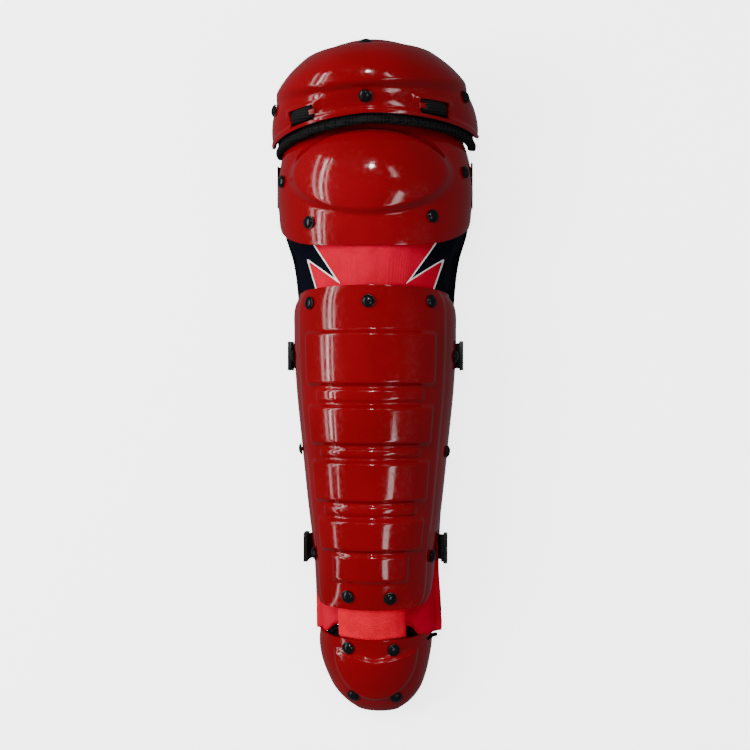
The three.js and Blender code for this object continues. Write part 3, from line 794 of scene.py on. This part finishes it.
def swell(piece, most):
    # air pressure inside the cover, no point moves further than most
    before = [vertex.co.copy() for vertex in piece.data.vertices]
    cloth = piece.modifiers.new("cloth", "CLOTH")
    cloth.settings.use_pressure = True
    cloth.settings.uniform_pressure_force = airPressure["force"]
    cloth.settings.effector_weights.gravity = 0
    cloth.point_cache.frame_start = 1
    cloth.point_cache.frame_end = airPressure["frames"]
    for number in range(1, airPressure["frames"] + 1):
        bpy.context.scene.frame_set(number)
    useOnly(piece)
    bpy.ops.object.modifier_apply(modifier=cloth.name)
    bpy.context.scene.frame_set(1)
    for vertex, old in zip(piece.data.vertices, before):
        move = vertex.co - old
        if move.length > most:
            vertex.co = old + move.normalized() * most


def outwardness(place, normal):
    # 1 where the surface faces away from the leg, -1 where it faces the leg
    radial = Vector((place.x - shiftX, 0, place.z - legAxis))
    return normal.dot(radial.normalized())


def quilt(piece, look):
    # sewn channels across the inner side
    normals = [vertex.normal.copy() for vertex in piece.data.vertices]
    for vertex, normal in zip(piece.data.vertices, normals):
        if outwardness(vertex.co, normal) > -0.5:
            continue
        fromSeam = abs((vertex.co.y / look["channel"] + 0.5) % 1 - 0.5) * look["channel"]
        vertex.co -= normal * look["channelDepth"] * softSlope(look["channelRun"], 0, fromSeam)


# the cap pad swells out below the shell's lower rim
rimRoll = {"out": 3.4, "run": 4 * mm, "halfShare": 0.49}


def rollAtRim(co):
    x, y = co.x - shiftX, co.y - shiftY - capArch.end
    x, y = x + y * capArch.turn, y - x * capArch.turn
    across = acrossOf(x / (capArch.width * rimRoll["halfShare"]))
    low = capArch.flat(across, capArch.end).y - capArch.end
    raised = capArch.raised(across, capArch.end)
    fromRim = y - low + raised
    rise = Vector((0, raised * softSlope(Arch.rimRun, 0, fromRim), 0))
    share = softSlope(0, -rimRoll["run"], fromRim)
    return co + rise + capArch.normal(across, capArch.end) * rimRoll["out"] * mm * share


# the wings of the leg pad run further down beside the foot, the right one most
# a wing: how much longer, and between which places from the middle that sets in
wings = {
    "right": (11 * mm, 34 * mm, 48 * mm),
    "left": (10 * mm, -34 * mm, -50 * mm),
    "heights": (-185 * mm, -236 * mm),
}


def longerWing(co):
    length = sum(wings[side][0] * softSlope(*wings[side][1:], co.x) for side in ("right", "left"))
    return co + Vector((0, -length * softSlope(*wings["heights"], co.y), 0))


# the upper edge of the foot pad stands out above the shell
footReach = {"heights": (-268 * mm, -250 * mm), "left": 0.2, "right": 0.14, "up": 12 * mm, "sink": 1.5 * mm}


def reachUp(co):
    share = softSlope(*footReach["heights"], co.y)
    widen = footReach["left"] if co.x < 0 else footReach["right"]
    return co + Vector((co.x * widen * share, footReach["up"] * share, -footReach["sink"] * share))


reshape = {"capPad": rollAtRim, "legPad": longerWing, "footPad": reachUp}
for name, look in softPieces.items():
    piece = copyOfNode(name, look["node"])
    remeshed(piece, look["voxel"], look["smooth"])
    for vertex in piece.data.vertices:
        vertex.co = reshape[name](vertex.co)
    swell(piece, look["swell"])
    fine = piece.modifiers.new("fine", "SUBSURF")
    fine.levels = 1
    fine.render_levels = 1
    applyAll(piece)
    if "channel" in look:
        quilt(piece, look)
    shadeSmooth(piece)
    dress(piece, look["look"], look["slot"], look["node"])
    if "channel" in look:
        piece.data.materials.append(looks["lining"])
        for face in piece.data.polygons:
            face.material_index = 1 if outwardness(face.center, face.normal) < -0.3 else 0
    print(name, "made")

# hinge band
band = {"voxel": 1.3 * mm, "smooth": 3}
hingeBand = copyOfNode("hingeBand", "hinge_band")
remeshed(hingeBand, band["voxel"], band["smooth"])
shadeSmooth(hingeBand)
dress(hingeBand, "band", "band", "hinge_band")
print("hinge band made")

# leg pad's outline, for the bound edge
pad = {
    "length": 450, "width": 182, "height": 90, "end": -238, "tailDrop": 5,
    "rows": [
        (0, 0.62, 0.56, 0.12, 0, 0.018, 0.04),
        (0.05, 0.62, 0.6, 0.12, 0, 0.015, 0.04),
        (0.12, 0.615, 0.7, 0.12, 0, 0.004, 0.04),
        (0.26, 0.66, 0.86, 0.12, 0, 0, 0.035),
        (0.42, 0.735, 0.935, 0.12, 0, 0, 0.03),
        (0.62, 0.81, 0.97, 0.12, 0, 0, 0.02),
        (0.72, 0.795, 0.97, 0.12, 0, 0, 0.04),
        (0.8, 0.845, 0.97, 0.14, 0, 0, 0.04),
        (0.87, 0.995, 1.035, 0.16, 0, 0, 0.01),
        (1, 0.98, 1.02, 0.17, 0, 0, 0.005),
    ],
}
padArch = Arch(pad)
binding = {
    "radius": 1.6 * mm, "steps": 70, "inset": -1.6 * mm, "ends": 4 * mm, "reach": 0.78, "roundness": 4,
    "lowerRadius": 2 * mm, "lowerSteps": 60, "lowerInset": -3.5 * mm, "lowerReach": 1.04, "lowerDrop": mm,
}


def tubeAlong(name, points, radius):
    curve = bpy.data.curves.new(name, "CURVE")
    curve.dimensions = "3D"
    curve.bevel_depth = radius
    curve.bevel_resolution = binding["roundness"]
    curve.use_fill_caps = True
    spline = curve.splines.new("POLY")
    spline.points.add(len(points) - 1)
    for point, place in zip(spline.points, points):
        point.co = (*place, 1)
    tube = bpy.data.objects.new(name, curve)
    bpy.context.collection.objects.link(tube)
    useOnly(tube)
    bpy.ops.object.convert(target="MESH")
    shadeSmooth(tube)
    return tube


for word, side in (("left", -1), ("right", 1)):
    across = side * (1 + Arch.tailShare * binding["reach"])
    start, steps = padArch.end + binding["ends"], binding["steps"]
    span = padArch.length - 2 * binding["ends"]
    heights = [start + span * step / steps for step in range(steps + 1)]
    points = [longerWing(padArch.place(across, y, binding["inset"])) for y in heights]
    piece = tubeAlong(f"padBinding_{word}", points, binding["radius"])
    dress(piece, "lining", "webbing")
reach, steps = binding["lowerReach"], binding["lowerSteps"]
acrosses = [-reach + 2 * reach * step / steps for step in range(steps + 1)]
lowerY = padArch.end - binding["lowerDrop"]
lowerEdge = [longerWing(padArch.place(across, lowerY, binding["lowerInset"])) for across in acrosses]
dress(tubeAlong("padBinding_lower", lowerEdge, binding["lowerRadius"]), "lining", "webbing")
print("pad binding made")

# straps: the flat bands with softened edges
# a strap: piece, solid, width as a share of the solid's
strap = {
    "edge": 0.5 * mm, "edgeFrom": 50, "smooth": 35,
    "each": [
        ("thighStrap", "thigh_strap", 0.97),
        ("calfStrapUpper", "calf_strap_upper", 1),
        ("calfStrapLower", "calf_strap_lower", 1),
    ],
}
for name, node, share in strap["each"]:
    piece = copyOfNode(name, node)
    for vertex in piece.data.vertices:
        vertex.co.x = shiftX + (vertex.co.x - shiftX) * share
    soften(piece, strap["edge"], 2, strap["edgeFrom"])
    shadeSmooth(piece, strap["smooth"])
    dress(piece, "webbing", "webbing", node)
print("straps made")

# hook plates: a plate with a sunk field and soft edges
plate = {"frame": 3.2 * mm, "sink": mm, "edge": 0.8 * mm, "thicker": 0.4 * mm, "smooth": 40}
for level in ("upper", "lower"):
    for word, side in (("left", -1), ("right", 1)):
        node = f"calf_strap_{level}_hook_{word}"
        low, high = (Vector(corner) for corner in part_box(node))
        low.x -= plate["thicker"]
        high.x += plate["thicker"]
        deselectAll()
        bpy.ops.mesh.primitive_cube_add(size=1, location=(low + high) / 2)
        piece = bpy.context.object
        piece.name = f"hookPlate_{level}_{word}"
        piece.scale = high - low
        bpy.ops.object.transform_apply(location=True, rotation=True, scale=True)
        selectFaces(piece, lambda face: face.normal.x * side > 0.9)
        bpy.ops.mesh.inset(thickness=plate["frame"])
        bpy.ops.mesh.extrude_region_move(TRANSFORM_OT_translate={"value": (-side * plate["sink"], 0, 0)})
        bpy.ops.object.mode_set(mode="OBJECT")
        soften(piece, plate["edge"], 3)
        shadeSmooth(piece, plate["smooth"])
        dress(piece, "hook", "hook", node)
print("hook plates made")

# floor, world and lights
studio = {"floorSize": 8, "floorDrop": 0.3 * mm, "glow": 3, "sky": (0.9, 0.92, 1), "skyPower": 0.16}
bpy.ops.mesh.primitive_plane_add(size=studio["floorSize"], location=(0, 0, -studio["floorDrop"]))
floor = bpy.context.object
floor.name = "studioFloor"
floorLook, floorShader = newMaterial("floorPaper", grey(0.9), 0.8)
floorClouds = noiseAt(floorLook, objectPlace(floorLook), 3)
floorTone = ramp(floorLook, floorClouds, 0.3, 0.7, grey(0.89), grey(0.92))
link(floorLook, floorTone, floorShader.inputs["Base Color"])
floorShader.inputs["Emission Color"].default_value = (*grey(1), 1)
floorShader.inputs["Emission Strength"].default_value = studio["glow"]
floor.data.materials.append(floorLook)
floor.visible_glossy = False
floor.visible_diffuse = False

world = bpy.data.worlds.new("studioWorld")
world.use_nodes = True
sky = world.node_tree.nodes["Background"]
sky.inputs["Color"].default_value = (*studio["sky"], 1)
sky.inputs["Strength"].default_value = studio["skyPower"]
bpy.context.scene.world = world

# a lamp: place, size, power, seen in the gloss, aim
lamps = {
    "windowLeft": ((-1.25, 0.3, 0.86), (1.3, 0.09), 7, True, (0, 0, 0.06)),
    "windowInner": ((-1.2, 0.2, 1.02), (1.6, 0.04), 3, True, (0, 0, 0.06)),
    "windowFar": ((-1.32, 0, 0.62), (2.2, 0.1), 5, True, (0, 0, 0.06)),
    "windowRight": ((0.75, -0.56, 1.46), (0.7, 0.22), 4, True, (0, -0.1, 0.06)),
    "windowTop": ((0.62, 0.5, 1.5), (0.36, 0.12), 1.1, True, (0, 0.15, 0.06)),
    "ceilingLamp": ((0.0, 0.95, 2.3), (0.16, 0.16), 12, True, (0, 0, 0)),
    "skylight": ((-0.9, 1.6, 2.6), (1.4, 1.0), 50, False, (0, 0, 0)),
    "fillLeft": ((-2.4, 0.2, 1.9), (1.2, 1.2), 82, False, (-0.6, 0, 0)),
    "fillRight": ((2.4, -0.4, 1.9), (1.2, 1.2), 22, False, (0.6, 0, 0)),
}
for name, (place, size, power, seen, aim) in lamps.items():
    bpy.ops.object.light_add(type="AREA", location=place)
    lamp = bpy.context.object
    lamp.name = name
    lamp.data.shape = "RECTANGLE"
    lamp.data.size, lamp.data.size_y = size
    lamp.data.energy = power
    lamp.visible_glossy = seen
    lamp.rotation_euler = (Vector(aim) - Vector(place)).to_track_quat("-Z", "Y").to_euler()
print("studio made")
